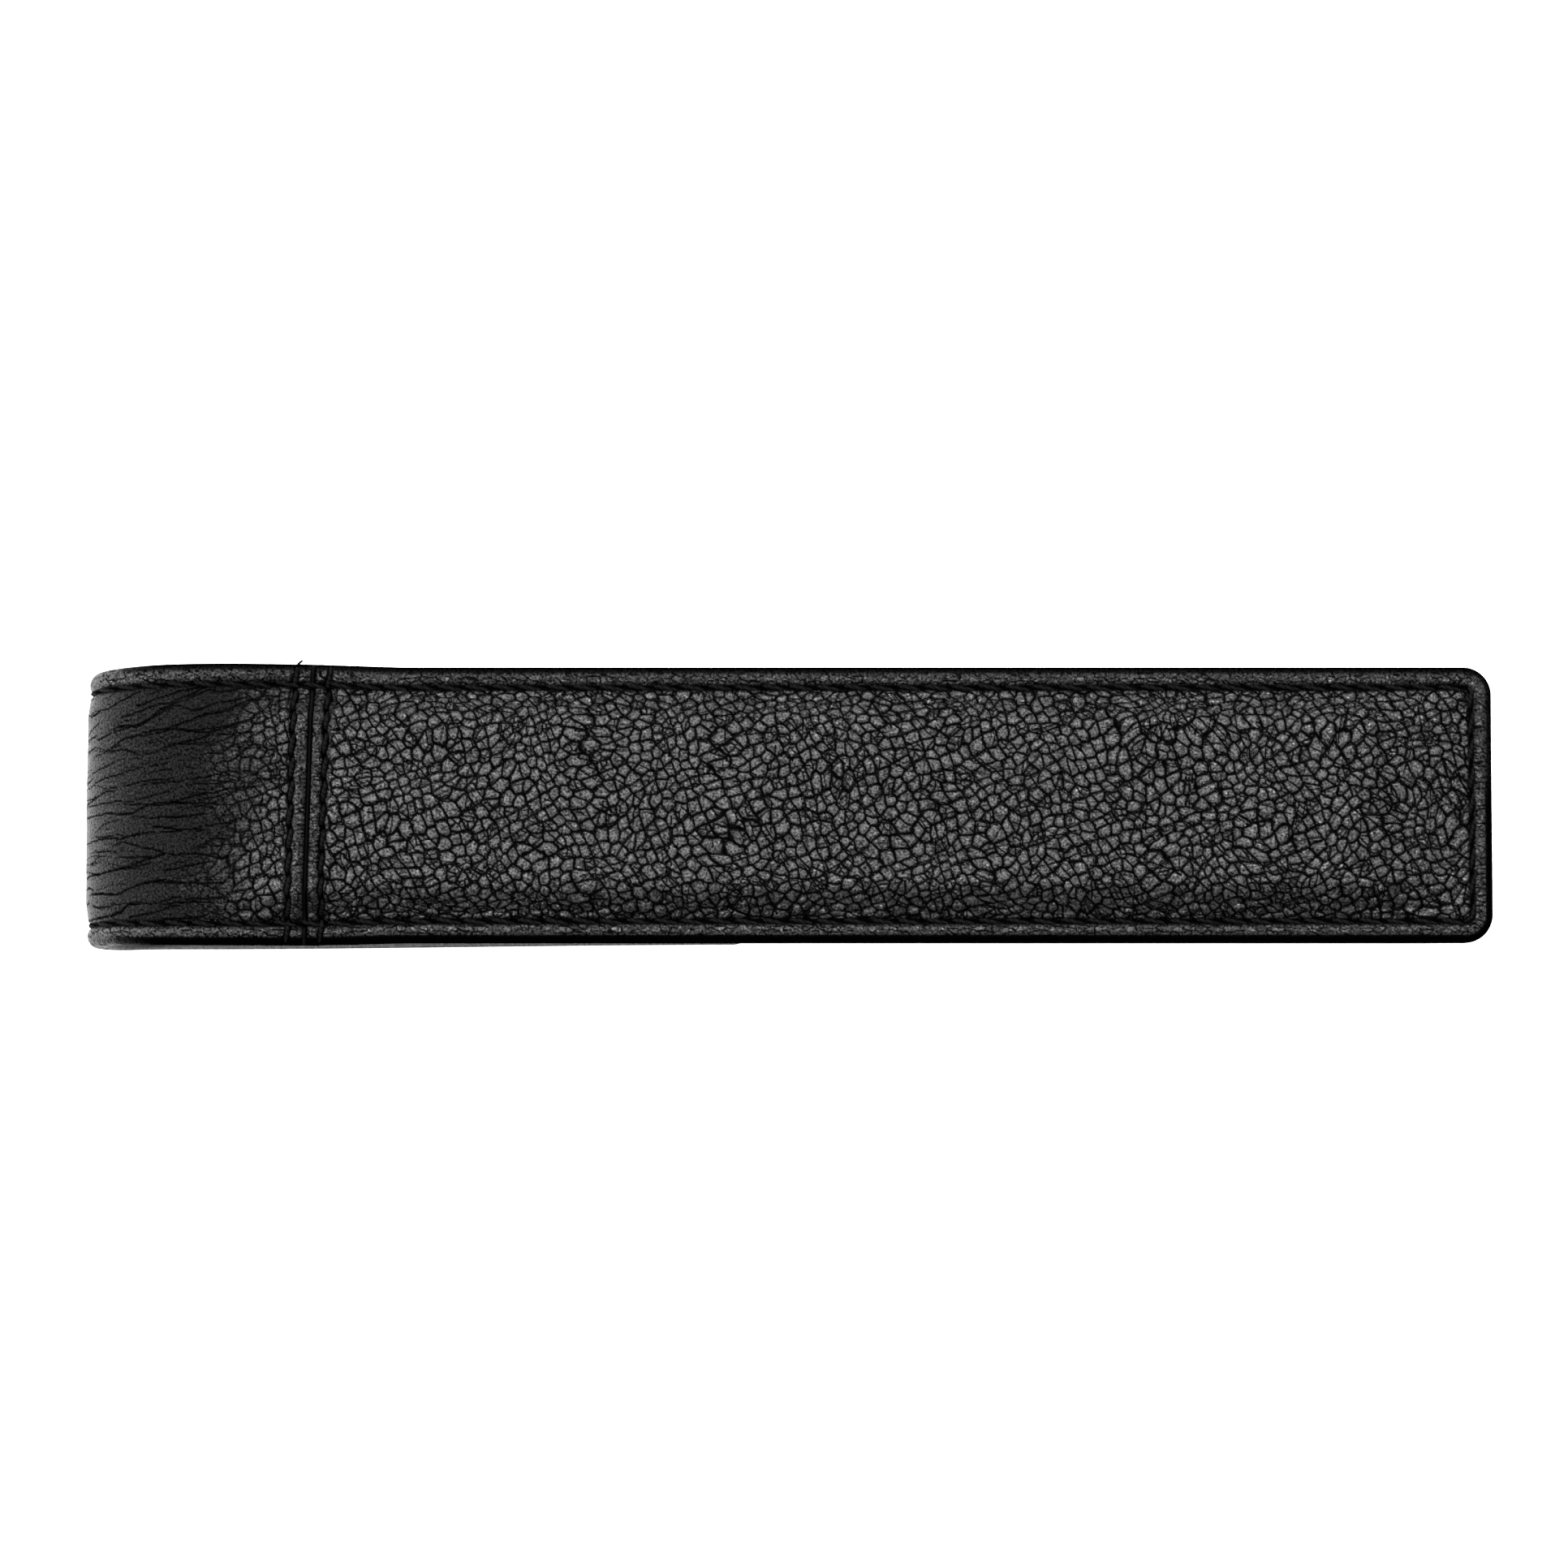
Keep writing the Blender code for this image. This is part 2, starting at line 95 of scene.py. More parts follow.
MARGIN = 2.4 * MM  # from the edge to the stitch line
EDGE_HALF = 2.05 * MM
BACK_RISE = 2.2 * MM
PILLOW = 0.8 * MM
FOLD_PILLOW = 0.3 * MM
BACK_SHOULDER = 4.6 * MM
FRONT_SHOULDER = 9.0 * MM
PILLOW_SHOULDER = 3.2 * MM
BACK_END_SHOULDER = 15.0 * MM
FRONT_END_SHOULDER = 18.0 * MM
MOUTH_SHOULDER = 4.0 * MM
MOUTH_ROW = 2.0 * MM
FLAP_SKEW = 0.8 * MM
TIP_SKEW = 0.25 * MM
LINING_DEPTH = 1.6 * MM
FLAP_LINING_DEPTH = 2.1 * MM
LINING_THICKNESS = 0.35 * MM
LINING_COLUMNS = 45
STEP_PAST_TIP = 1.0 * MM
STEP_LENGTH = 18.0 * MM
SWELL_PAST_MOUTH = 8.0 * MM
SWELL_LENGTH = 13.0 * MM
HEM_DEPTH = 0.8 * MM

# Sewing and edges; the rows beside the cross seam are placed from its middle
SEAM_LEAN = 0.027  # how far the cross seam runs along x for each metre across
SEAM_REACH = 12.0 * MM
SEAM_GAP = 0.36 * MM
ROW_LEFT = -1.95 * MM
ROW_RIGHT = 1.75 * MM
STRIP_REACH = 2.1 * MM
EDGE_ROLL = 1.0 * MM
SEAM_ROLL = 0.5 * MM
# The turned edges are dyed black; on the near, -Y side painted shade takes the black further in
DYED_AND_SHADED_NEAR = 0.7 * MM
DYED_AND_SHADED_NEAR_FADE = 0.25 * MM
DYED_FAR = 0.25 * MM
DYED_FAR_FADE = 0.6 * MM
GROOVE_DEPTH = 0.42 * MM
GROOVE_WIDTH = 0.34 * MM
STITCH_LIFT = 0.12 * MM - GROOVE_DEPTH
LONG_STITCH = 3.05 * MM
SHORT_STITCH = 2.6 * MM
THREAD_RADIUS = 0.24 * MM
END_SPOTS = 60  # how many places give the stitch line's run across an end

# The pale grey of a painted highlight along a hem's inner edge
RIM_HIGHLIGHT_GREY = (0.25, 0.245, 0.24, 1)
GRAIN_STEP = 0.13 * MM
FRONT_GRAIN_SHIFT = 300 * MM  # so that the front's grain isn't the back's
PEBBLE = 1.38  # millimetres, as the patterns take
# How much painted shade a plain surface gets, on the scale of the creases, from 0 to 1
SMOOTH_SHADE = 0.56
STRIP_SHADE = 0.38
RIDGE_SHADE = 0.02


def smooth(value):
    """0 below 0 and 1 above 1, with a smooth step between."""
    value = np.clip(value, 0.0, 1.0)
    return value * value * (3 - 2 * value)


def mix(low, high, share):
    return low + (high - low) * share


def bell(value):
    return np.exp(-value * value)


# ---------------------------------------------------------------- patterns, in millimetres


def lattice(column, row, seed):
    """A fixed random number from 0 to 1 for each cell of a lattice."""
    value = np.sin(column * 127.1 + row * 311.7 + seed * 74.7) * 43758.5453
    return value - np.floor(value)


def noise(x, y, seed):
    """Smooth random hills, from -1 to 1, about one unit apart."""
    column, row = np.floor(x), np.floor(y)
    along, up = smooth(x - column), smooth(y - row)
    near = mix(lattice(column, row, seed), lattice(column + 1, row, seed), along)
    far = mix(lattice(column, row + 1, seed), lattice(column + 1, row + 1, seed), along)
    return 2 * mix(near, far, up) - 1


def turned(x, y, angle):
    """Places as seen along lines that run at an angle to x."""
    return x * math.cos(angle) + y * math.sin(angle), y * math.cos(angle) - x * math.sin(angle)


def cells(x, y, wide, tall, seed, jitter):
    """Scattered points in a lattice of cells wide by tall, each place's nearest point its own.

    Returns how far the nearest point is in cells, how far away the border to the next one is, the
    nearest's random number, and how squarely that border crosses x."""
    x, y = x / wide, y / tall
    column, row = np.floor(x), np.floor(y)
    first = np.full(np.shape(x), 9.0)
    second = first.copy()
    number = first.copy()
    near_x, near_y, next_x, next_y = (first.copy() for _ in range(4))
    for step_x in (-1, 0, 1):
        for step_y in (-1, 0, 1):
            at_x, at_y = column + step_x, row + step_y
            point_x = at_x + 0.5 + jitter * (lattice(at_x, at_y, seed) - 0.5)
            point_y = at_y + 0.5 + jitter * (lattice(at_x, at_y, seed + 3) - 0.5)
            away = np.hypot(x - point_x, y - point_y)
            closer = away < first
            between = ~closer & (away < second)
            next_x = np.where(closer, near_x, np.where(between, point_x, next_x))
            next_y = np.where(closer, near_y, np.where(between, point_y, next_y))
            second = np.where(closer, first, np.minimum(second, away))
            number = np.where(closer, lattice(at_x, at_y, seed + 7), number)
            near_x, near_y = np.where(closer, point_x, near_x), np.where(closer, point_y, near_y)
            first = np.where(closer, away, first)
    apart_x, apart_y = (next_x - near_x) / wide, (next_y - near_y) / tall
    apart = np.maximum(np.hypot(apart_x, apart_y), 1e-9)
    return first, (second**2 - first**2) / 2 / apart, number, np.abs(apart_x) / apart


def pebbles(x, y):
    """Flat round grains with creases between them, some broken into smaller ones.

    Returns their height in millimetres and the creases, 0 to 1."""
    wander_x = x + 0.15 * noise(x / 0.9, y / 0.9, 11) + 1.1 * noise(x / 5, y / 5, 12)
    wander_y = y + 0.15 * noise(x / 0.9, y / 0.9, 13) + 1.1 * noise(x / 5, y / 5, 14)
    lain_x, lain_y = turned(wander_x, wander_y, 0.45)
    first, border, number, _ = cells(lain_x, lain_y, PEBBLE, PEBBLE, 21, 0.68)
    # The corners between round grains are broken up, and so is about one grain in six.
    corner = smooth((first - 0.40 - 0.08 * number) / 0.06)
    broken = np.maximum(corner, smooth((number - 0.82) / 0.02))
    tilted_x, tilted_y = turned(wander_x, wander_y, 0.6)
    _, small_border, _, _ = cells(tilted_x, tilted_y, 0.8, 0.8, 22, 0.95)
    # crease later darkens the colour and sheen: painted shade in the creases, and a little in the
    # corners between grains
    crease = np.maximum(bell(border / 0.12), 0.34 * bell(border / 0.26))
    crease = np.maximum(crease, 0.9 * bell(small_border / 0.08) * broken)
    crease = np.maximum(crease, 0.17 * corner)
    pores = 0.35 * smooth(2.2 * noise(x / 0.33, y / 0.33, 16) - 0.5)
    crease = np.maximum(crease, pores)
    for angle, seed in ((1.35, 51), (-0.55, 57), (0.3, 63)):
        along, aside = turned(x, y, angle)
        crease = np.maximum(crease, 0.95 * long_creases(along, aside, 5.0, 4.0, 0.08, seed))
    dome = 0.035 * (1 - np.clip(first / 0.6, 0, 1) ** 2)
    return dome + 0.010 * noise(x / 0.4, y / 0.4, 15) - 0.02 * broken, crease


def long_creases(x, y, length, spacing, width, seed):
    """A net of long thin creases that run mostly along x."""
    wander_x = x + 1.2 * noise(x / 4, y / 3, seed)
    wander_y = y + 0.35 * noise(x / 2.4, y / 2.4, seed + 1)
    wander_y = wander_y + 0.08 * noise(x / 0.7, y / 0.7, seed + 2)
    _, border, _, steep = cells(wander_x, wander_y, length, spacing, seed + 3, 0.95)
    strength = smooth(0.85 + 0.9 * noise(x / 3.5, y / 2, seed + 4))
    strength = strength * (1 - smooth(steep * 2.0 - 0.3))
    return bell(border / width) * strength


def strip_wrinkles(x, y, inside, off_seam):
    """Fine short wrinkles on the narrow strips that stitches hold flat, 0 to 1.

    A strip's middle, a little outside the stitch line or beside the seam, is a lighter painted
    highlight; the rest of the strip and its wrinkles get painted shade."""
    wander_x = x + 0.3 * noise(x / 0.8, y / 0.6, 71)
    wander_y = y + 0.2 * noise(x / 0.7, y / 0.5, 72)
    _, border, number, _ = cells(wander_x, wander_y, 1.3, 0.6, 73, 0.95)
    wrinkles = bell(border / 0.085) * smooth(0.35 + 0.9 * number)
    ridge_highlight = np.maximum(bell((inside + 0.8) / 0.45), bell((off_seam - 1.0) / 0.5))
    ridge_highlight = ridge_highlight * smooth(0.65 + noise(x / 0.7, y / 0.4, 77))
    return np.maximum(wrinkles, mix(STRIP_SHADE, RIDGE_SHADE, ridge_highlight))


def fold_creases(x, y):
    """The smoother leather round the fold, with thin creases that fan out to it.

    Returns its height in millimetres and the creases, 0 to 1."""
    run = x - X_SEAM / MM
    risen = y - run * mix(0.06, 0.22, smooth((y + 6) / 16))
    long = 1.5 * long_creases(run, risen, 10.0, 2.3, 0.115, 31)
    between = 1.4 * long_creases(run + 3, risen, 6.0, 1.9, 0.1, 35)
    main = np.minimum(1.0, np.maximum(long, between))
    fine = 0.9 * long_creases(run, risen, 3.5, 1.3, 0.085, 41)
    crossing, aside = turned(run, y, -0.6)
    branch = 0.8 * long_creases(crossing, aside, 5.0, 3.0, 0.085, 47)
    lower_right = smooth((run + 22) / 8) * smooth((-2 - y) / 5)
    branch = branch * mix(smooth(noise(x / 4, y / 4, 53) + 0.3), 1.0, lower_right)
    crease = np.maximum(np.maximum(main, fine * smooth(0.7 + noise(x / 5, y / 5, 47))), branch)
    height = 0.03 * noise(x / 5, risen / 1.6, 48) + 0.008 * noise(x / 0.9, y / 0.6, 49)
    return height, crease


def leather_relief(along, across, inside, pebbled):
    """The height in metres and the creases, 0 to 1, which darken the colour as painted shade, of a
    skin at places given in metres.

    inside is how far a place lies within the stitch line, where the leather bunches up."""
    x, y, within = along / MM, across / MM, inside / MM
    off_seam = np.abs(along - X_SEAM - SEAM_LEAN * across) / MM
    pull = 1.3 * bell(np.clip(within, -1, 9) / 2.2) * np.sign(y)
    grain, grain_crease = pebbles(x, y + pull)
    plain, plain_crease = fold_creases(x, y)
    height = mix(plain, grain, pebbled)
    # A painted highlight lightens the fold's foremost line, where the leather turns towards the
    # light from the side
    nose_highlight = 0.24 * bell((along - X_CLOSED + arc_of(2.0)) / (5 * MM))
    crease = mix(np.maximum(plain_crease, SMOOTH_SHADE - nose_highlight), grain_crease, pebbled)
    # calm is 1 on the open leather and less on the strips that stitches hold flat.
    calm = mix(0.45, 1.0, smooth(within / 0.8 + 0.6))
    calm *= mix(0.5, 1.0, smooth((off_seam - STRIP_REACH / MM) / 0.4))
    bunched = 0.16 * bell((within - 1.6) / 1.5) * noise(x / 1.6, y / 0.45, 61)
    undulation = 0.06 * noise(x / 14, y / 8, 62) + 0.03 * noise(x / 5, y / 4, 63)
    depth = 0.12 * np.maximum(crease - SMOOTH_SHADE * (1 - pebbled), 0)
    tight = np.minimum(1.0, 1.7 * (1 - calm)) * strip_wrinkles(x, y, within, off_seam)
    relief = (height - depth) * calm - 0.06 * tight + bunched * pebbled + undulation
    return relief * MM, np.maximum(crease * calm, tight)


# ---------------------------------------------------------------- the wrap: back, fold and flap


def crown(u):
    """Places x and z on the crown line at u, and the direction out of the case there."""
    u = np.asarray(u, float)
    half = HEIGHT / 2
    run = np.where(u < 2, X_UPPER - X_FOLD, X_LOWER - X_FOLD)
    angle = (np.clip(u, 1, 3) - 1) * math.pi / 2
    x = X_FOLD + run * (1 - np.sin(angle))
    x = np.where(u < 1, mix(X_CLOSED, X_UPPER, u), np.where(u > 3, mix(X_LOWER, X_TIP, u - 3), x))
    z = half + half * np.cos(angle)
    out_x, out_z = -np.sin(angle) / run, np.cos(angle) / half
    size = np.hypot(out_x, out_z)
    return x, z, out_x / size, out_z / size


U_STEPS = np.linspace(0, 4, 8001)
CROWN_X, CROWN_Z, _, _ = crown(U_STEPS)
ARC_STEPS = np.concatenate(([0.0], np.cumsum(np.hypot(np.diff(CROWN_X), np.diff(CROWN_Z)))))


def arc_of(u):
    """How far u lies from the closed end along the crown line."""
    return np.interp(u, U_STEPS, ARC_STEPS)


def u_at(arc):
    return np.interp(arc, ARC_STEPS, U_STEPS)


def u_of_back(x):
    return (X_CLOSED - x) / (X_CLOSED - X_UPPER)


def u_of_flap(x):
    return 3 + (x - X_LOWER) / (X_TIP - X_LOWER)


def x_of(u):
    """x on the back for u, which goes on past the fold's start in a straight line."""
    return mix(X_CLOSED, X_UPPER, u)


def wide_pouch(x):
    swell = smooth((X_MOUTH + SWELL_PAST_MOUTH - x) / SWELL_LENGTH)
    return mix(BODY_HALF_WIDTH, SEAM_HALF_WIDTH, swell)


def wide_wrap(u):
    at_seam = u_of_back(X_SEAM)
    upper = mix(wide_pouch(crown(u)[0]), FOLD_HALF_WIDTH, smooth((u - at_seam) / (2 - at_seam)))
    return np.where(u <= 2, upper, mix(FOLD_HALF_WIDTH, FLAP_HALF_WIDTH, smooth(u - 2)))


def rounded(half_width, to_end):
    """A half width with the rounded corner that it has near an end."""
    run = CORNER_RADIUS - np.clip(to_end, 0, CORNER_RADIUS)
    return half_width - CORNER_RADIUS + np.sqrt(CORNER_RADIUS**2 - run**2)


def wrap_half_width(u):
    x = crown(u)[0]
    to_end = np.where(u <= 1, X_CLOSED - x, np.where(u >= 3, X_TIP - x, CORNER_RADIUS))
    return rounded(wide_wrap(u), to_end)


def wrap_skew(u):
    return -FLAP_SKEW * smooth((u - 1.2) / 1.4) + (FLAP_SKEW - TIP_SKEW) * smooth(u - 3)


def inside_outline(to_end, half_width, y):
    """How far a place lies inside an outline with rounded corners at one end."""
    past_x = CORNER_RADIUS - to_end
    past_y = np.abs(y) - half_width + CORNER_RADIUS
    corner = np.hypot(np.maximum(past_x, 0), np.maximum(past_y, 0))
    return CORNER_RADIUS - corner - np.minimum(np.maximum(past_x, past_y), 0)


def wrap_inside(u, y):
    x = crown(u)[0]
    to_end = np.where(u <= 1, X_CLOSED - x, np.where(u >= 3, X_TIP - x, 9 * CORNER_RADIUS))
    return inside_outline(to_end, wide_wrap(u), y)


def wrap_drop(u, y, pillowed=True):
    """How far the wrap's face lies inside its crown line."""
    x = crown(u)[0]
    inside = wide_wrap(u) - MARGIN - np.abs(y)
    tip = np.where(u > 3, smooth((X_TIP - MARGIN - x) / PILLOW_SHOULDER), 1.0)
    flap_pillow = mix(FOLD_PILLOW, PILLOW, smooth(u - 2)) * pillowed
    flap = flap_pillow * (1 - smooth(inside / PILLOW_SHOULDER) * tip)
    raised = smooth((X_MOUTH - x) / (X_MOUTH - X_UPPER))
    side = smooth(inside / mix(BACK_SHOULDER, PILLOW_SHOULDER, raised))
    end = smooth((X_CLOSED - MARGIN - x) / BACK_END_SHOULDER)
    back = mix(BACK_RISE, FOLD_PILLOW, raised) * (1 - side * end)
    return np.where(u > 1, flap, back)


def wrap_face(u, y, pillowed=True):
    """Places on the wrap's smooth outer face, as rows of x, y and z."""
    x, z, out_x, out_z = crown(u)
    drop = wrap_drop(u, y, pillowed)
    return np.stack([x - out_x * drop, y + wrap_skew(u), z - out_z * drop], axis=-1)


def lining_face(u, y):
    return wrap_face(u, y, u < 1)


def seam_shift(x, y):
    """The seam leans a little, and so does the leather near it."""
    return SEAM_LEAN * y * bell((x - X_SEAM) / SEAM_REACH)


# ---------------------------------------------------------------- the front of the pouch


def front_crown_height(x):
    over_flap = 1 - smooth((x - X_TIP - STEP_PAST_TIP) / STEP_LENGTH)
    mouth_dip = PILLOW * (1 - smooth((x - X_MOUTH - MOUTH_ROW) / MOUTH_SHOULDER))
    return FLAP_ROOM * over_flap + mouth_dip


def front_face(x, y):
    """Places on the front's smooth outer face, which looks down."""
    side = smooth((wide_pouch(x) - MARGIN - np.abs(y)) / FRONT_SHOULDER)
    end = smooth((X_CLOSED - MARGIN - x) / FRONT_END_SHOULDER)
    return np.stack([x, y, mix(Z_JOIN - EDGE_HALF, front_crown_height(x), side * end)], axis=-1)


def front_half_width(x):
    return rounded(wide_pouch(x), X_CLOSED - x)


# ---------------------------------------------------------------- meshes


def normals_of(face, along, across):
    """Directions out of a face at given places."""
    step = 2e-5
    down = face(along + step, across) - face(along - step, across)
    over = face(along, across + step) - face(along, across - step)
    normal = np.cross(over, down)
    return normal / np.linalg.norm(normal, axis=-1, keepdims=True)


def add_mesh(name, points, faces, finish, marks=None):
    """A smooth-shaded mesh object from points and faces, with values kept for its material."""
    mesh = bpy.data.meshes.new(name)
    mesh.from_pydata(points.reshape(-1, 3).tolist(), [], faces)
    for label, values in (marks or {}).items():
        kind = "FLOAT" if values.ndim == 1 else "FLOAT_VECTOR"
        field = mesh.attributes.new(label, kind, "POINT")
        field.data.foreach_set("value" if kind == "FLOAT" else "vector", values.ravel())
    mesh.materials.append(finish)
    mesh.shade_smooth()
    obj = bpy.data.objects.new(name, mesh)
    bpy.context.scene.collection.objects.link(obj)
    return obj


def grid_faces(rows, columns):
    """The quads of a grid of points, as rows of four places."""
    first = np.arange(rows * columns).reshape(rows, columns)
    quads = np.stack([first[:-1, :-1], first[:-1, 1:], first[1:, 1:], first[1:, :-1]], axis=-1)
    return quads.reshape(-1, 4)


def winding(points, normals):
    """1 if a grid's faces look along its normals, or -1 if they have to be turned round."""
    row, column = points.shape[0] // 2, points.shape[1] // 2
    aside = points[row, column + 1] - points[row, column]
    onward = points[row + 1, column] - points[row, column]
    return 1 if np.cross(aside, onward) @ normals[row, column] > 0 else -1


def border_of(rows, columns):
    """The places round a grid's border, in order."""
    first = np.arange(rows * columns).reshape(rows, columns)
    return np.concatenate([first[0, :], first[1:, -1], first[-1, -2::-1], first[-2:0:-1, 0]])


def edge_steps(half_width, step):
    """Places across a sheet from edge to edge, crowded where its edges roll over."""
    rolled = EDGE_ROLL * (1 - np.cos(np.linspace(0, math.pi / 2, 7)))
    inner = np.linspace(EDGE_ROLL, half_width, int((half_width - EDGE_ROLL) / step))[1:]
    half = half_width - np.concatenate([rolled, inner])
    return np.concatenate([half[:-1], -half[::-1]]) / half_width


def end_steps(first, last, step, first_roll, last_roll):
    """Places from first to last, crowded at each end that rolls over."""
    quarter = 1 - np.cos(np.linspace(0, math.pi / 2, 7))
    sign = 1 if last > first else -1
    middle = np.linspace(
        first + sign * first_roll, last - sign * last_roll, int(abs(last - first) / step)
    )
    head = first + sign * first_roll * quarter[:-1] if first_roll else []
    tail = last - sign * last_roll * quarter[-2::-1] if last_roll else []
    return np.concatenate([head, middle, tail])


def roll_off(inside, radius):
    """How far an edge that is turned over drops, at places up to its radius inside it."""
    run = radius - np.clip(inside, 0, radius)
    return radius - np.sqrt(radius * radius - run * run)


def hem(points, normals, faces, rows, columns, depth, open_sides, values):
    """Turns the sheet's border down and back under it, except where a side is open.

    The two rings before the last, on the inner face, are marked with a pale painted highlight, away
    from the seam."""
    border = border_of(rows, columns)
    edge = points.reshape(-1, 3)[border]
    down = -normals.reshape(-1, 3)[border]
    onward = np.roll(edge, -1, axis=0) - np.roll(edge, 1, axis=0)
    inward = np.cross(onward, down)
    inward /= np.maximum(np.linalg.norm(inward, axis=1, keepdims=True), 1e-12)
    centre = points.reshape(-1, 3).mean(axis=0)
    inward *= np.sign(np.einsum("ij,ij->i", inward, centre - edge))[:, None]
    rings = [border]
    count = len(points.reshape(-1, 3))
    made = [points.reshape(-1, 3)]
    for share_in, share_down in ((0.0, 0.35), (0.10, 0.70), (0.38, 0.95), (0.9, 1.0), (2.2, 1.0)):
        made.append(edge + inward * share_in * depth * 0.7 + down * share_down * depth)
        rings.append(count + np.arange(len(border)))
        count += len(border)
    kept = np.ones(len(border), bool)
    corners = np.cumsum([0, columns - 1, rows - 1, columns - 1, rows - 1])
    for side in open_sides:
        kept[corners[side] : corners[side + 1]] = False
    for outer, inner in zip(rings, rings[1:]):
        quads = np.stack([outer, inner, np.roll(inner, -1), np.roll(outer, -1)], axis=-1)
        faces = np.concatenate([faces, quads[kept]])
    more = len(rings) - 1
    values = {
        label: np.concatenate([field] + [field[border]] * more) for label, field in values.items()
    }
    # How much of the pale painted highlight each border place gets: none near the seam
    rim_highlight_share = smooth((X_SEAM / MM - 5 - values["flat"][border, 0]) / 6)
    values["rim_highlight"] = np.zeros(count)
    values["rim_highlight"][-3 * len(border) : -len(border)] = np.tile(rim_highlight_share, 2)
    return np.concatenate(made), faces, values


def skin(name, face, along, across, arc, inside, pebbled, extra, depth, finish, open_sides, dark):
    """A leather skin over a face, at the grid of places that along and across give."""
    relief, crease = leather_relief(arc, across, inside - MARGIN, pebbled)
    groove = GROOVE_DEPTH * bell((inside - MARGIN) / GROOVE_WIDTH)
    puff = 0.12 * MM * bell((inside - 1.35 * MM) / (0.55 * MM))
    lift = relief + puff - groove - roll_off(inside, EDGE_ROLL) + extra
    normals = normals_of(face, along, across)
    points = face(along, across) + normals * lift[..., None]
    rows, columns = along.shape
    # shade is the painted shade of the creases and stitch grooves, together with the dark marks of
    # the seam and the edges
    shade = np.maximum(np.maximum(crease, bell((inside - MARGIN) / GROOVE_WIDTH)), dark)
    flat = np.stack([arc, across, 0 * arc], axis=-1) / MM
    values = {"crease": shade.ravel(), "flat": flat.reshape(-1, 3)}
    way = winding(points, normals)
    faces = grid_faces(rows, columns)
    points, faces, values = hem(points, normals, faces, rows, columns, depth, open_sides, values)
    return add_mesh(name, points, faces[:, ::way].tolist(), finish, values)


def dyed_and_shaded_edge(inside, y):
    """The turned edge of the pouch is dyed black, from 0 to 1, and painted shade takes the black
    further in on its -Y side, which faces away from the light.
    """
    far = smooth(y / CORNER_RADIUS)
    reach, fade = mix(DYED_AND_SHADED_NEAR, DYED_FAR, far), mix(DYED_AND_SHADED_NEAR_FADE, DYED_FAR_FADE, far)
    return bell(np.maximum(inside - reach, 0) / fade)


def seam_relief(distance, y):
    """The cross seam's mark on the leather: two stitch grooves, and edges turned into the joint.

    Returns the height, and where it is dark, 0 to 1: painted shade in the stitch grooves, and
    darker at the joint."""
    zigzag = 0.12 * MM * np.sin(2 * math.pi * y / SHORT_STITCH)
    rows = sum(bell((distance - row + zigzag) / GROOVE_WIDTH) for row in (ROW_LEFT, ROW_RIGHT))
    strip = 0.16 * MM * bell((np.abs(distance) - 0.95 * MM) / (0.55 * MM))
    edge = bell((np.abs(distance) - SEAM_GAP / 2) / (0.14 * MM))
    relief = strip - GROOVE_DEPTH * rows - roll_off(np.abs(distance) - SEAM_GAP / 2, SEAM_ROLL)
    return relief, np.maximum(np.minimum(1.0, 1.5 * rows), edge)


def pebble_share(x, y):
    """The back is pebbled, and so is the flap close to the seam, up to a ragged line."""
    edge = X_FOLD + 11.5 * MM + 0.15 * y + 2.5 * MM * noise(x / (4 * MM), y / (3 * MM), 81)
    return smooth((x - edge) / (15 * MM))


def back_skin(finish):
    x = end_steps(X_SEAM + SEAM_GAP / 2, X_CLOSED, GRAIN_STEP, SEAM_ROLL, EDGE_ROLL)
    t = edge_steps(SEAM_HALF_WIDTH, GRAIN_STEP)
    x, t = np.meshgrid(x, t, indexing="ij")
    u = u_of_back(x)
    y = t * wrap_half_width(u)
    extra, sewn = seam_relief(x - X_SEAM, y)

    def moved(u, y):
        shift = seam_shift(x_of(u), y)
        return wrap_face(u_of_back(x_of(u) + shift), y)

    inside = wrap_inside(u, y)
    dark = np.maximum(sewn, dyed_and_shaded_edge(inside, y))
    depth = EDGE_HALF - EDGE_ROLL
    return skin("back_skin", moved, u, y, x, inside, 1.0, extra, depth, finish, (), dark)


def fold_skin(finish):
    """The flap's leather from the seam to the foremost line of the fold."""
    start, end = arc_of(u_of_back(X_SEAM - SEAM_GAP / 2)), arc_of(2.0)
    arc = end_steps(start, end, GRAIN_STEP, SEAM_ROLL, 0)
    t = edge_steps(SEAM_HALF_WIDTH, GRAIN_STEP)
    arc, t = np.meshgrid(arc, t, indexing="ij")
    u = u_at(arc)
    y = t * wrap_half_width(u)
    x = X_CLOSED - arc
    extra, sewn = seam_relief(x - X_SEAM, y)

    def moved(u, y):
        shift = seam_shift(X_CLOSED - arc_of(u), y)
        return wrap_face(u_at(arc_of(u) - shift), y)

    share = pebble_share(x, y)
    inside = wrap_inside(u, y)
    dark = np.maximum(sewn, dyed_and_shaded_edge(inside, y) * (1 - smooth((u - 1.3) / 0.5)))
    return skin("fold_skin", moved, u, y, x, inside, share, extra, HEM_DEPTH, finish, (2,), dark)


def flap_skin(finish):
    """The flap's leather from the foremost line of the fold to its tip."""
    arc = end_steps(arc_of(2.0), arc_of(4.0), 1.25 * GRAIN_STEP, 0, EDGE_ROLL)
    t = edge_steps(SEAM_HALF_WIDTH, 1.25 * GRAIN_STEP)
    arc, t = np.meshgrid(arc, t, indexing="ij")
    u = u_at(arc)
    y = t * wrap_half_width(u)
    x = X_CLOSED - arc
    share = smooth((arc - arc_of(3.1)) / (9 * MM))
    inside = wrap_inside(u, y)
    return skin("flap_skin", wrap_face, u, y, x, inside, share, 0 * arc, HEM_DEPTH, finish, (0,), 0)


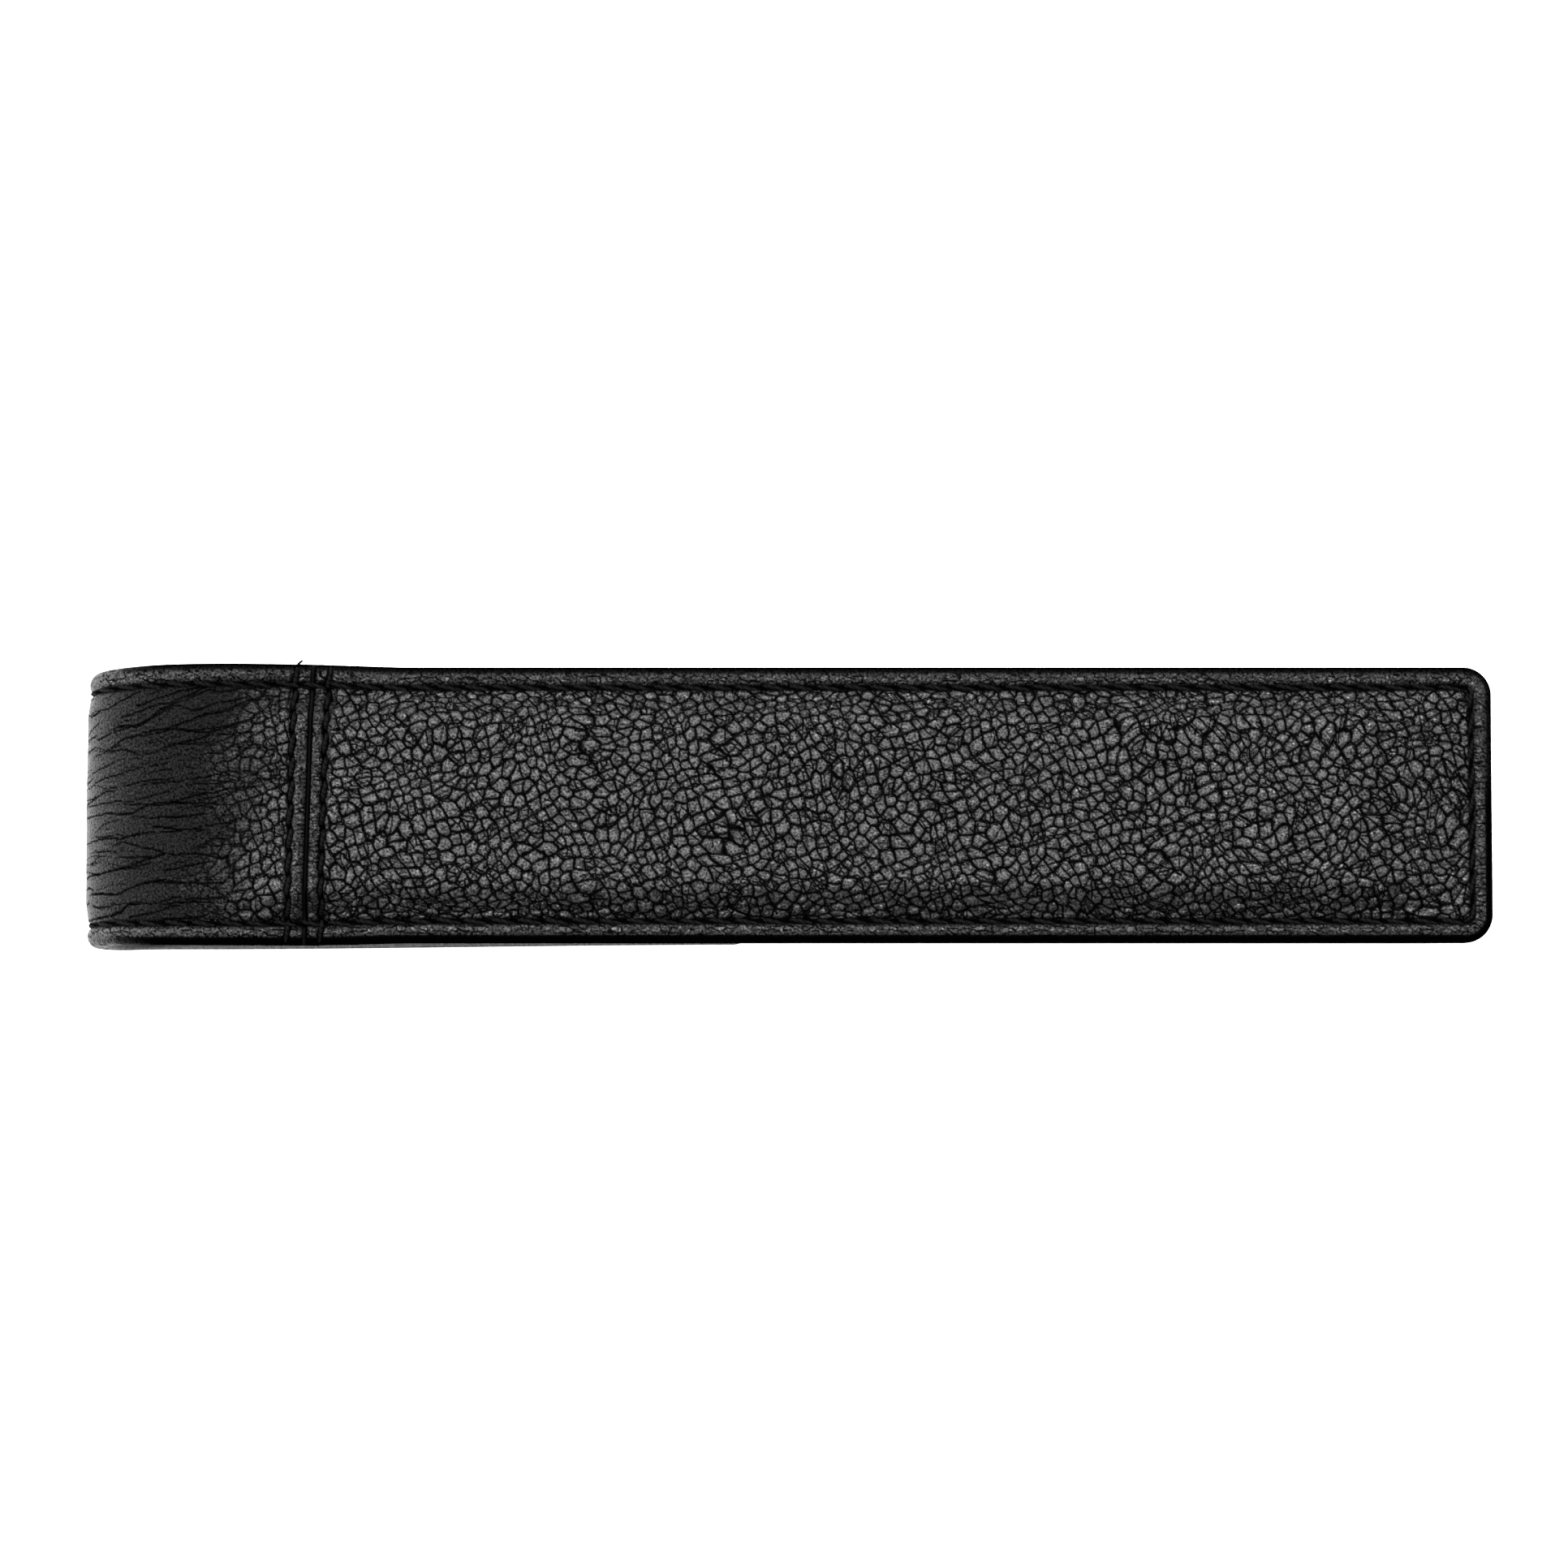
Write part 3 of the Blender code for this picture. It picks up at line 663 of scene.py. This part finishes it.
def front_skin(finish):
    x = end_steps(X_MOUTH, X_CLOSED, 1.25 * GRAIN_STEP, EDGE_ROLL, EDGE_ROLL)
    t = edge_steps(SEAM_HALF_WIDTH, 1.25 * GRAIN_STEP)
    x, t = np.meshgrid(x, t, indexing="ij")
    y = t * front_half_width(x)
    inside = inside_outline(X_CLOSED - x, wide_pouch(x), y)
    mouth = x - X_MOUTH
    extra = -GROOVE_DEPTH * bell((mouth - MOUTH_ROW) / GROOVE_WIDTH) - roll_off(mouth, 0.6 * MM)
    dark = dyed_and_shaded_edge(inside, y)
    arc = x + FRONT_GRAIN_SHIFT
    depth = HEM_DEPTH
    return skin("front_skin", front_face, x, y, arc, inside, 1.0, extra, depth, finish, (), dark)


# ---------------------------------------------------------------- stitches


def tube(path, radii, sides=8):
    """Points and faces of a tube along a path, closed at both ends."""
    ahead = np.gradient(path, axis=0)
    ahead /= np.linalg.norm(ahead, axis=1, keepdims=True)
    side = np.cross(ahead, np.where(np.abs(ahead[:, 2:]) < 0.9, [[0.0, 0, 1]], [[0, 1.0, 0]]))
    side /= np.linalg.norm(side, axis=1, keepdims=True)
    up = np.cross(side, ahead)
    turn = np.arange(sides) * 2 * math.pi / sides
    ring = side[:, None] * np.cos(turn)[:, None] + up[:, None] * np.sin(turn)[:, None]
    points = (path[:, None] + ring * radii[:, None, None]).reshape(-1, 3)
    first = np.arange(len(path) - 1)[:, None] * sides + np.arange(sides)
    beside = np.arange(len(path) - 1)[:, None] * sides + (np.arange(sides) + 1) % sides
    quads = np.stack([first, beside, beside + sides, first + sides], axis=-1).reshape(-1, 4)
    last = len(points) - sides
    return points, quads.tolist() + [list(range(sides))[::-1], list(range(last, last + sides))]


def stitch_row(name, spots, normals, pitch, finish, slant=0.2):
    """Separate stitches from hole to hole along a line of spots on the leather."""
    steps = np.linalg.norm(np.diff(spots, axis=0), axis=1)
    length = np.concatenate(([0.0], np.cumsum(steps)))
    count = max(1, round(length[-1] / pitch))
    points, faces, total = [], [], 0
    for number in range(count):
        at = (number + np.linspace(0.05, 0.95, 11)) * length[-1] / count
        path = np.stack([np.interp(at, length, spots[:, i]) for i in range(3)], axis=-1)
        normal = np.stack([np.interp(at, length, normals[:, i]) for i in range(3)], axis=-1)
        share = np.linspace(-1, 1, 11)
        aside = np.cross(path[-1] - path[0], normal[5])
        aside /= max(np.linalg.norm(aside), 1e-12)
        wobble = 0.05 * MM * math.sin(number * 2.4)
        height = 0.10 * MM - 0.42 * MM * np.abs(share) ** 3
        sway = slant * share * length[-1] / count / 2 + wobble
        path = path + normal * height[:, None] + aside * sway[:, None]
        tube_points, tube_faces = tube(path, THREAD_RADIUS * (1 - 0.35 * np.abs(share) ** 4))
        faces += [[total + i for i in face] for face in tube_faces]
        points.append(tube_points)
        total += len(tube_points)
    return add_mesh(name, np.concatenate(points), faces, finish)


def line_on(face, along, across, lift):
    """Spots on a face with their directions out of it."""
    normals = normals_of(face, along, across)
    return face(along, across) + normals * lift, normals


def pouch_edge(face, along_of_x, from_x):
    """The stitch line round the pouch, out along one side, across the closed end and back."""
    turn = X_CLOSED - MARGIN
    xs = np.linspace(from_x, turn - 0.5 * MM, 240)
    side = wide_pouch(xs) - MARGIN
    reach = BODY_HALF_WIDTH - MARGIN - 0.5 * MM
    across = np.linspace(reach, -reach, END_SPOTS)
    x = np.concatenate([xs, np.full(END_SPOTS, turn), xs[::-1]])
    y = np.concatenate([side, across, -side[::-1]])
    return line_on(face, along_of_x(x), y, STITCH_LIFT)


def cross_row(name, distance, finish):
    """A row of stitches beside the cross seam, which runs right over both edges."""
    y = np.linspace(SEAM_HALF_WIDTH - 0.3 * MM, -SEAM_HALF_WIDTH + 0.3 * MM, 120)
    x = X_SEAM + distance + SEAM_LEAN * y
    lift = -0.30 * MM - roll_off(SEAM_HALF_WIDTH - np.abs(y), EDGE_ROLL)
    normals = normals_of(wrap_face, u_of_back(x), y)
    spots = wrap_face(u_of_back(x), y) + normals * lift[:, None]
    return stitch_row(name, spots, normals, SHORT_STITCH, finish, 0.12)


def wrap_edge(first, last, side):
    u = u_at(np.linspace(arc_of(first), arc_of(last), 80))
    y = side * (wide_wrap(u) - MARGIN)
    return line_on(wrap_face, u, y, STITCH_LIFT)


def flap_edge():
    """The stitch line round the flap, from the fold out to its tip and back."""
    turn = X_TIP - MARGIN
    u = u_at(np.linspace(arc_of(2.0), arc_of(u_of_flap(turn)), 200))
    side = wide_wrap(u) - MARGIN
    across = np.linspace(side[-1] - 0.5 * MM, -side[-1] + 0.5 * MM, END_SPOTS)
    us = np.concatenate([u, np.full(END_SPOTS, u[-1]), u[::-1]])
    ys = np.concatenate([side, across, -side[::-1]])
    return line_on(wrap_face, us, ys, STITCH_LIFT)


def loose_end(finish):
    """The end of a seam thread that stands out of the edge."""
    x = X_SEAM + ROW_LEFT + SEAM_LEAN * SEAM_HALF_WIDTH
    start = Vector((x, SEAM_HALF_WIDTH, Z_JOIN + 1 * MM))
    bend = np.linspace(0, 1, 9)
    path = np.array(start) + np.stack(
        [0.5 * MM * bend**2, 0.75 * MM * bend - 0.3 * MM, 0.3 * MM * np.sin(bend * 3)], axis=-1
    )
    points, faces = tube(path, THREAD_RADIUS * (0.8 - 0.3 * bend))
    return add_mesh("loose_thread_end", points, faces, finish)


# ---------------------------------------------------------------- linings


def lining(name, face, along, half_width_of, depth, finish):
    """A thin lining sheet at a depth under a face, closed all round."""
    t = np.linspace(-1, 1, LINING_COLUMNS)
    along, t = np.meshgrid(along, t, indexing="ij")
    across = t * half_width_of(along)
    normals = normals_of(face, along, across)
    nap = 0.02 * MM * noise(along * 900, across / MM * 1.2, 71)
    outer = face(along, across) - normals * (depth + nap)[..., None]
    inner = outer - normals * LINING_THICKNESS
    rows, columns = along.shape
    count = rows * columns
    top = grid_faces(rows, columns)
    border = border_of(rows, columns)
    after = np.roll(border, -1)
    wall = np.stack([border, border + count, after + count, after], axis=-1)
    faces = np.concatenate([top, top[:, ::-1] + count, wall])
    faces = faces[:, :: winding(outer, normals)]
    points = np.concatenate([outer.reshape(-1, 3), inner.reshape(-1, 3)])
    return add_mesh(name, points, faces.tolist(), finish)


def seam_backing(finish):
    """The tape under the cross seam, which closes the joint between the two leathers."""
    x = np.linspace(X_SEAM + 4.5 * MM, X_SEAM - 4.5 * MM, 25)
    return lining("seam_backing", wrap_face, u_of_back(x), wide_wrap, EDGE_ROLL - 0.05 * MM, finish)


# ---------------------------------------------------------------- materials


def new_material(name, roughness):
    finish = bpy.data.materials.new(name)
    finish.use_nodes = True
    shader = finish.node_tree.nodes["Principled BSDF"]
    shader.inputs["Roughness"].default_value = roughness
    return finish, finish.node_tree, shader


def link(tree, source, output, target, socket):
    tree.links.new(source.outputs[output], target.inputs[socket])


def node(tree, kind, **inputs):
    made = tree.nodes.new(kind)
    for name, value in inputs.items():
        made.inputs[name.replace("_", " ")].default_value = value
    return made


def ramp(tree, stops):
    """A colour ramp through (place, grey) stops."""
    made = tree.nodes.new("ShaderNodeValToRGB")
    made.color_ramp.elements[0].position = stops[0][0]
    made.color_ramp.elements[1].position = stops[-1][0]
    for place, _ in stops[1:-1]:
        made.color_ramp.elements.new(place)
    for element, (_, grey) in zip(made.color_ramp.elements, stops):
        element.color = (grey, grey, grey * 1.01, 1)
    return made


def pattern(tree, label):
    """The values kept on the mesh under a label."""
    made = tree.nodes.new("ShaderNodeAttribute")
    made.attribute_name = label
    return made


def multiply(tree, first, second):
    """The product of two colour outputs."""
    made = tree.nodes.new("ShaderNodeMix")
    made.data_type = "RGBA"
    made.blend_type = "MULTIPLY"
    made.inputs[0].default_value = 1.0
    tree.links.new(first, made.inputs[6])
    tree.links.new(second, made.inputs[7])
    return made.outputs[2]


def pore_specks(tree, flat):
    """Dark specks of pores, as a colour output."""
    pores = node(tree, "ShaderNodeTexNoise", Scale=3.4, Detail=3.0, Roughness=0.6)
    link(tree, flat, "Vector", pores, "Vector")
    specks = ramp(tree, ((0.38, 0.15), (0.60, 1.0)))
    link(tree, pores, "Fac", specks, "Fac")
    return specks.outputs[0]


def hair_wrinkles(tree, flat):
    """Hair-fine wrinkles between the pores, as a colour output."""
    warp = node(tree, "ShaderNodeTexNoise", Scale=1.8, Detail=3.0)
    link(tree, flat, "Vector", warp, "Vector")
    bent = tree.nodes.new("ShaderNodeVectorMath")
    bent.operation = "MULTIPLY_ADD"
    bent.inputs[1].default_value = (0.5, 0.5, 0.0)
    link(tree, warp, "Color", bent, 0)
    link(tree, flat, "Vector", bent, 2)
    wrinkles = node(tree, "ShaderNodeTexVoronoi", Scale=2.4)
    wrinkles.feature = "DISTANCE_TO_EDGE"
    link(tree, bent, "Vector", wrinkles, "Vector")
    lines = ramp(tree, ((0.0, 0.0), (0.11, 1.0)))
    link(tree, wrinkles, "Distance", lines, "Fac")
    return lines.outputs[0]


def leather_color(tree, crease, flat, specks):
    """Lighter on the grain's tops and black in the creases, which is painted shade, and pale along
    a hem's inner edge, which is a painted highlight.
    """
    shade = ramp(tree, ((0.0, 0.018), (0.3, 0.0085), (0.6, 0.0018), (1.0, 0.0004)))
    link(tree, crease, "Fac", shade, "Fac")
    clouds = node(tree, "ShaderNodeTexNoise", Scale=0.25, Detail=3.0)
    link(tree, flat, "Vector", clouds, "Vector")
    tone = ramp(tree, ((0.3, 0.82), (0.7, 1.0)))
    link(tree, clouds, "Fac", tone, "Fac")
    grained = multiply(tree, multiply(tree, shade.outputs[0], specks), tone.outputs[0])
    with_rim_highlight = tree.nodes.new("ShaderNodeMix")
    with_rim_highlight.data_type = "RGBA"
    with_rim_highlight.inputs[7].default_value = RIM_HIGHLIGHT_GREY
    link(tree, pattern(tree, "rim_highlight"), "Fac", with_rim_highlight, 0)
    tree.links.new(grained, with_rim_highlight.inputs[6])
    return with_rim_highlight.outputs[2]


def leather_material():
    """Black grained leather: painted shade that darkens the creases and takes their sheen away,
    lighter tops, fine pores, and a pale painted highlight along a hem's inner edge.
    """
    finish, tree, shader = new_material("grained_leather", 0.42)
    crease = pattern(tree, "crease")
    flat = pattern(tree, "flat")
    specks = pore_specks(tree, flat)
    tree.links.new(leather_color(tree, crease, flat, specks), shader.inputs["Base Color"])
    # The sheen fades out in the creases and on the plain leather, as painted shade
    sheen = ramp(tree, ((0.0, 0.9), (0.3, 0.3), (0.6, 0.03), (1.0, 0.0)))
    link(tree, crease, "Fac", sheen, "Fac")
    gloss = multiply(tree, sheen.outputs[0], specks)
    tree.links.new(gloss, shader.inputs["Specular IOR Level"])
    bump = node(tree, "ShaderNodeBump", Strength=0.7, Distance=0.00007)
    tree.links.new(multiply(tree, hair_wrinkles(tree, flat), specks), bump.inputs["Height"])
    link(tree, bump, "Normal", shader, "Normal")
    return finish


def thread_material():
    """Black waxed thread, its twist shown by slanting bands."""
    finish, tree, shader = new_material("stitching_thread", 0.75)
    shader.inputs["Specular IOR Level"].default_value = 0.03
    place = tree.nodes.new("ShaderNodeTexCoord")
    twist = node(tree, "ShaderNodeTexWave", Scale=900.0, Distortion=0.6)
    twist.bands_direction = "DIAGONAL"
    link(tree, place, "Object", twist, "Vector")
    color = ramp(tree, ((0.0, 0.0006), (1.0, 0.004)))
    link(tree, twist, "Fac", color, "Fac")
    link(tree, color, "Color", shader, "Base Color")
    bump = node(tree, "ShaderNodeBump", Strength=0.6, Distance=0.00008)
    link(tree, twist, "Fac", bump, "Height")
    link(tree, bump, "Normal", shader, "Normal")
    return finish


def mottled_material(name, dark, light, roughness, scale, metallic=0.0):
    """A plain finish with a fine mottled surface."""
    finish, tree, shader = new_material(name, roughness)
    shader.inputs["Metallic"].default_value = metallic
    place = tree.nodes.new("ShaderNodeTexCoord")
    speckle = node(tree, "ShaderNodeTexNoise", Scale=scale, Detail=6.0, Roughness=0.7)
    link(tree, place, "Object", speckle, "Vector")
    color = ramp(tree, ((0.3, 0.0), (0.7, 1.0)))
    color.color_ramp.elements[0].color = (*dark, 1)
    color.color_ramp.elements[1].color = (*light, 1)
    link(tree, speckle, "Fac", color, "Fac")
    link(tree, color, "Color", shader, "Base Color")
    bump = node(tree, "ShaderNodeBump", Strength=0.4, Distance=0.00005)
    link(tree, speckle, "Fac", bump, "Height")
    link(tree, bump, "Normal", shader, "Normal")
    return finish


def lining_material():
    dark, light = (0.012, 0.012, 0.013), (0.03, 0.03, 0.032)
    return mottled_material("microfibre_lining", dark, light, 0.95, 3500)


# ---------------------------------------------------------------- the pieces, and the pouch's pieces on its body


def on_upper_bend(piece):
    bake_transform(piece)


def on_lower_bend(piece):
    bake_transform(piece)


def dress_leather():
    leather = leather_material()
    back = back_skin(leather)
    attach(back, "pouch")
    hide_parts("back_leather")
    fold = fold_skin(leather)
    on_upper_bend(fold)
    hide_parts("flap_leather_on_back")
    flap = flap_skin(leather)
    on_lower_bend(flap)
    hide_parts("flap_leather", "fold_leather")
    front = front_skin(leather)
    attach(front, "pouch")
    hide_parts("front_leather")


def place_row(replaced):
    """Hides the CAD thread that a stitch row stands for."""
    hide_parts(replaced)


def sew_pouch(thread):
    back = pouch_edge(wrap_face, u_of_back, X_UPPER)
    front = pouch_edge(front_face, lambda x: x, X_MOUTH + 1 * MM)
    y = np.linspace(SEAM_HALF_WIDTH - MARGIN - 1 * MM, -SEAM_HALF_WIDTH + MARGIN + 1 * MM, 90)
    mouth = line_on(front_face, np.full(90, X_MOUTH + MOUTH_ROW), y, STITCH_LIFT)
    rows = {
        "edge_stitching": stitch_row("back_edge_stitches", *back, LONG_STITCH, thread),
        "edge_stitching_on_front": stitch_row("front_edge_stitches", *front, LONG_STITCH, thread),
        "seam_stitching_back_side": cross_row("seam_stitches_back_side", ROW_RIGHT, thread),
        "seam_stitching_flap_side": cross_row("seam_stitches_flap_side", ROW_LEFT, thread),
        "mouth_stitching": stitch_row("mouth_stitches", *mouth, SHORT_STITCH, thread),
    }
    for replaced, row in rows.items():
        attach(row, "pouch")
        place_row(replaced)


def sew_fold(thread):
    for side, name in ((-1, "near"), (1, "far")):
        row = stitch_row(f"fold_stitches_{name}", *wrap_edge(1.0, 2.0, side), LONG_STITCH, thread)
        on_upper_bend(row)
        place_row(f"fold_stitching_{name}")


def sew_flap(thread):
    row = stitch_row("flap_edge_stitches", *flap_edge(), LONG_STITCH, thread)
    on_lower_bend(row)
    place_row("flap_edge_stitching")


def leave_loose_end(thread):
    end = loose_end(thread)
    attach(end, "pouch")


def wrap_within_stitches(u):
    return wide_wrap(u) - MARGIN


def pouch_within_stitches(x):
    return wide_pouch(x) - MARGIN


def back_lining(cloth):
    arc = np.linspace(arc_of(u_of_back(X_CLOSED - 4 * MM)), arc_of(2.0), 150)
    width = wrap_within_stitches
    upper = lining("pouch_back_lining", wrap_face, u_at(arc), width, LINING_DEPTH, cloth)
    on_upper_bend(upper)
    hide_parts("back_lining")


def flap_lining(cloth):
    arc = np.linspace(arc_of(2.0), arc_of(u_of_flap(X_TIP - 1.8 * MM)), 70)
    width = wrap_within_stitches
    lower = lining("flap_inner_lining", lining_face, u_at(arc), width, FLAP_LINING_DEPTH, cloth)
    on_lower_bend(lower)
    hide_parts("flap_lining", "fold_lining")


def front_lining(cloth):
    x = np.linspace(X_MOUTH + 0.3 * MM, X_CLOSED - 3 * MM, 150)
    width = pouch_within_stitches
    front = lining("pouch_front_lining", front_face, x, width, LINING_DEPTH, cloth)
    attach(front, "pouch")
    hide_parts("front_lining")


def dress_seam_tape():
    tape = mottled_material("seam_tape", (0.001, 0.001, 0.001), (0.003, 0.003, 0.003), 0.9, 4000)
    tape.node_tree.nodes["Principled BSDF"].inputs["Specular IOR Level"].default_value = 0.05
    backing = seam_backing(tape)
    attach(backing, "pouch")
    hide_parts("seam_tape")


def dress_hidden_pieces():
    """The pieces inside the leather keep their CAD shapes and get their own finishes."""
    board = mottled_material("fibre_board", (0.16, 0.13, 0.10), (0.28, 0.24, 0.19), 0.9, 2500)
    dull, bright = (0.5, 0.49, 0.46), (0.66, 0.65, 0.62)
    plating = mottled_material("nickel_plate", dull, bright, 0.28, 900, 1.0)
    finishes = {
        board: ("back_interlining", "front_interlining", "flap_board"),
        plating: ("flap_magnet", "keeper_plate"),
    }
    for finish, names in finishes.items():
        for name in names:
            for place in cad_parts[name].material_slots:
                place.material = finish


# ---------------------------------------------------------------- camera, light and floor


FLOOR_REACH = 1.5
CAMERA_DISTANCE = 0.4904
CAMERA_ELEVATION = math.radians(86.8)


def aim(obj, target):
    obj.rotation_euler = (target - obj.location).to_track_quat("-Z", "Y").to_euler()


def area_light(name, place, target, size, power):
    data = bpy.data.lights.new(name, "AREA")
    data.shape = "RECTANGLE"
    data.size, data.size_y = size
    data.energy = power
    lamp = bpy.data.objects.new(name, data)
    lamp.location = place
    bpy.context.scene.collection.objects.link(lamp)
    aim(lamp, target)


def light_world():
    scene = bpy.context.scene
    scene.view_settings.view_transform = "Standard"
    world = bpy.data.worlds.new("studio")
    world.use_nodes = True
    background = world.node_tree.nodes["Background"].inputs
    background["Color"].default_value = (1, 1, 1, 1)
    background["Strength"].default_value = 0.06
    scene.world = world


def lay_floor():
    """A white floor that glows evenly, so that the case throws no shadow on it."""
    mesh = bpy.data.meshes.new("floor")
    reach = FLOOR_REACH
    corners = [(-reach, -reach, 0), (reach, -reach, 0), (reach, reach, 0), (-reach, reach, 0)]
    mesh.from_pydata(corners, [], [(0, 1, 2, 3)])
    floor = bpy.data.objects.new("floor", mesh)
    floor.location.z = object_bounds()[0].z
    bpy.context.scene.collection.objects.link(floor)
    pale = mottled_material("pale_floor", (0.86, 0.86, 0.86), (0.9, 0.9, 0.9), 0.9, 3)
    shader = pale.node_tree.nodes["Principled BSDF"].inputs
    shader["Emission Color"].default_value = (1, 1, 1, 1)
    shader["Emission Strength"].default_value = 1.0
    mesh.materials.append(pale)


def hang_lights():
    middle = Vector((0, 0, HEIGHT))
    area_light("key", Vector((0.14, 0.22, 0.46)), middle, (0.30, 0.16), 8.4)
    area_light("fill", Vector((-0.42, 0.02, 0.16)), middle, (0.22, 0.2), 5.2)


def place_camera():
    data = bpy.data.cameras.new("camera")
    data.lens = 100
    data.sensor_width = 36
    data.clip_start = 0.01
    camera = bpy.data.objects.new("camera", data)
    look_at = Vector((-0.2 * MM, 2.2 * MM, HEIGHT))
    away = Vector((0, -math.cos(CAMERA_ELEVATION), math.sin(CAMERA_ELEVATION)))
    camera.location = look_at + CAMERA_DISTANCE * away
    bpy.context.scene.collection.objects.link(camera)
    aim(camera, look_at)
    bpy.context.scene.camera = camera


thread = thread_material()
cloth = lining_material()
dress_leather()
sew_pouch(thread)
sew_fold(thread)
sew_flap(thread)
leave_loose_end(thread)
back_lining(cloth)
flap_lining(cloth)
front_lining(cloth)
dress_seam_tape()
dress_hidden_pieces()
light_world()
lay_floor()
hang_lights()
place_camera()
